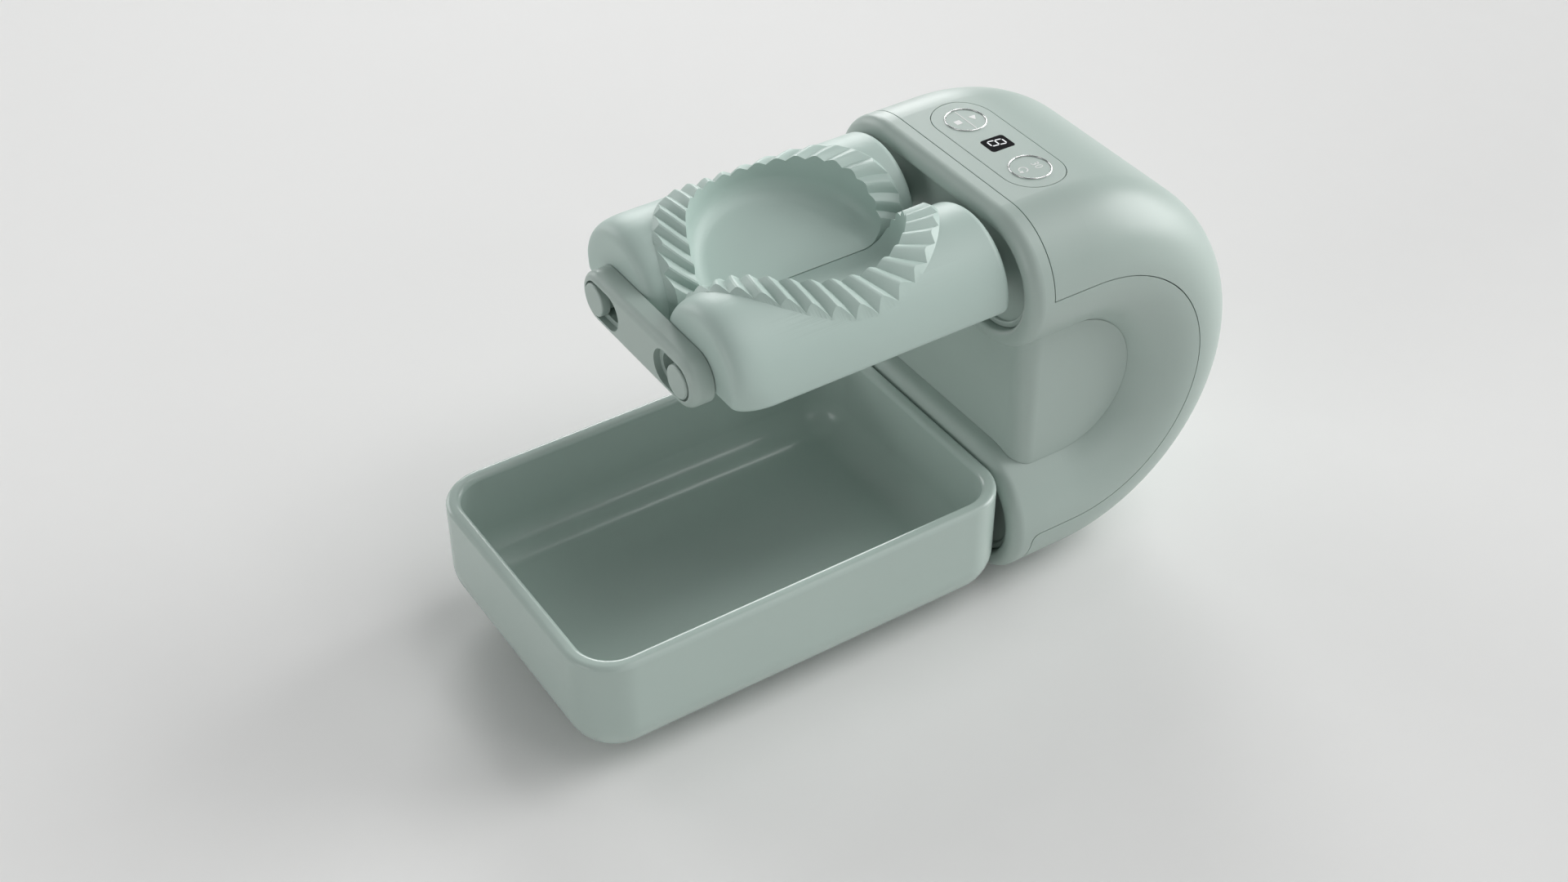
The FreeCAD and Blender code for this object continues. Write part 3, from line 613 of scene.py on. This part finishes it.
def segmentFinish():
    material, net, place = startMaterial("litSegment")
    speck = noise(net, place, litSegment["speckScale"])
    endMaterial(net, {
        "Base Color": (*litSegment["unlit"], 1),
        "Emission Color": tinted(net, speck, litSegment["colour"], litSegment["dark"], 1),
        "Emission Strength": litSegment["glow"],
        "Roughness": litSegment["gloss"],
    })
    return material


def printFinish():
    material, net, place = startMaterial("markPrint")
    speck = noise(net, place, markPrint["speckScale"], detail=3)
    endMaterial(net, {
        "Base Color": tinted(net, speck, markPrint["colour"], markPrint["dark"], markPrint["light"]),
        "Roughness": markPrint["gloss"] + swing(speck, markPrint["speckGloss"]),
    })
    return material


silver = printFinish()
layMarks("displayDigit", "display_window", "housing", segmentFinish(), [drawDigit])
layMarks("ringBeads", "button_rings", "housing", finishes["chrome_trim"], [drawBeads])
layMarks("turnsMarks", "turns_button", "button_turns", silver, [drawNumber, drawTurnArrow])
layMarks("startMarks", "start_button", "button_start", silver, [drawStartStop])
print("panel marked")


# Stage: pale floor, an even sky and soft lamps
stage = {
    "floor": {"size": 80.0, "colour": (0.82, 0.82, 0.81), "dark": 0.985, "gloss": 0.55,
              "rollScale": 60, "rollGloss": 0.1},
    "sky": {"colour": (0.97, 0.99, 1.0), "light": 0.17},
    "lamps": {
        "sideKey": {"from": (2.10, -0.32, 0.78), "light": 2.42, "spread": 44},
        "topBox": {"from": (0.55, -0.40, 1.20), "light": 0.66, "spread": 40},
        "nearFill": {"from": (0.0, -1.40, 0.43), "light": 0.26, "spread": 30},
        "frontFill": {"from": (-1.40, -0.15, 0.26), "light": 0.52, "spread": 28},
        "farFill": {"from": (-0.50, 1.35, 0.38), "light": 0.86, "spread": 34},
        "backBox": {"from": (0.45, 0.85, 0.30), "light": 1.18, "spread": 28},
        # Two weak narrow ones draw streaks along the rounded edge inside the tray
        "trayStreak": {"from": (0.84, -1.54, 0.96), "light": 0.10, "spread": 8},
        "topStrip": {"from": (0.80, 0.30, 1.72), "light": 0.10, "spread": 8},
    },
}


def makeFloor():
    values = stage["floor"]
    bm = bmesh.new()
    bmesh.ops.create_grid(bm, x_segments=1, y_segments=1, size=values["size"] / 2)
    mesh = bpy.data.meshes.new("floor")
    bm.to_mesh(mesh)
    bm.free()
    floor = bpy.data.objects.new("floor", mesh)
    bpy.context.scene.collection.objects.link(floor)
    material, net, place = startMaterial("floorPaint")
    roll = noise(net, place, values["rollScale"], detail=3)
    endMaterial(net, {
        "Base Color": tinted(net, roll, values["colour"], values["dark"], 1),
        "Roughness": values["gloss"] + roll * values["rollGloss"],
    })
    mesh.materials.append(material)


def makeWorld():
    values = stage["sky"]
    world = bpy.data.worlds.new("studio")
    bpy.context.scene.world = world
    world.use_nodes = True
    world.node_tree.nodes.clear()
    net = Sock(world.node_tree)
    sky = net.node("Background", {}, {"Color": (*values["colour"], 1), "Strength": values["light"]})
    net.node("OutputWorld", {}, {"Surface": sky})


def makeLamps():
    for name, values in stage["lamps"].items():
        lamp = bpy.data.lights.new(name, "SUN")
        lamp.energy = values["light"]
        lamp.angle = math.radians(values["spread"])
        holder = bpy.data.objects.new(name, lamp)
        holder.location = values["from"]
        holder.rotation_mode = "QUATERNION"
        holder.rotation_quaternion = (-holder.location).to_track_quat("-Z", "Y")
        bpy.context.scene.collection.objects.link(holder)


# Camera: in metres and degrees, lens and sensor in millimetres
camera = {
    "place": (-0.3391, -0.4820, 0.5297),
    "azimuth": -33.11,
    "elevation": 39.35,
    "lens": 51.16,
    "sensor": 36.0,
}


def makeCamera():
    data = bpy.data.cameras.new("camera")
    data.lens = camera["lens"]
    data.sensor_width = camera["sensor"]
    around = math.radians(camera["azimuth"])
    above = math.radians(camera["elevation"])
    level = Vector((math.sin(around), -math.cos(around), 0)) * math.cos(above)
    back = level + Vector((0, 0, math.sin(above)))
    holder = bpy.data.objects.new("camera", data)
    holder.location = camera["place"]
    holder.rotation_mode = "QUATERNION"
    holder.rotation_quaternion = (-back).to_track_quat("-Z", "Y")
    bpy.context.scene.collection.objects.link(holder)
    bpy.context.scene.camera = holder


makeFloor()
makeWorld()
makeLamps()
makeCamera()
bpy.context.scene.view_settings.view_transform = "Standard"
print("stage set")
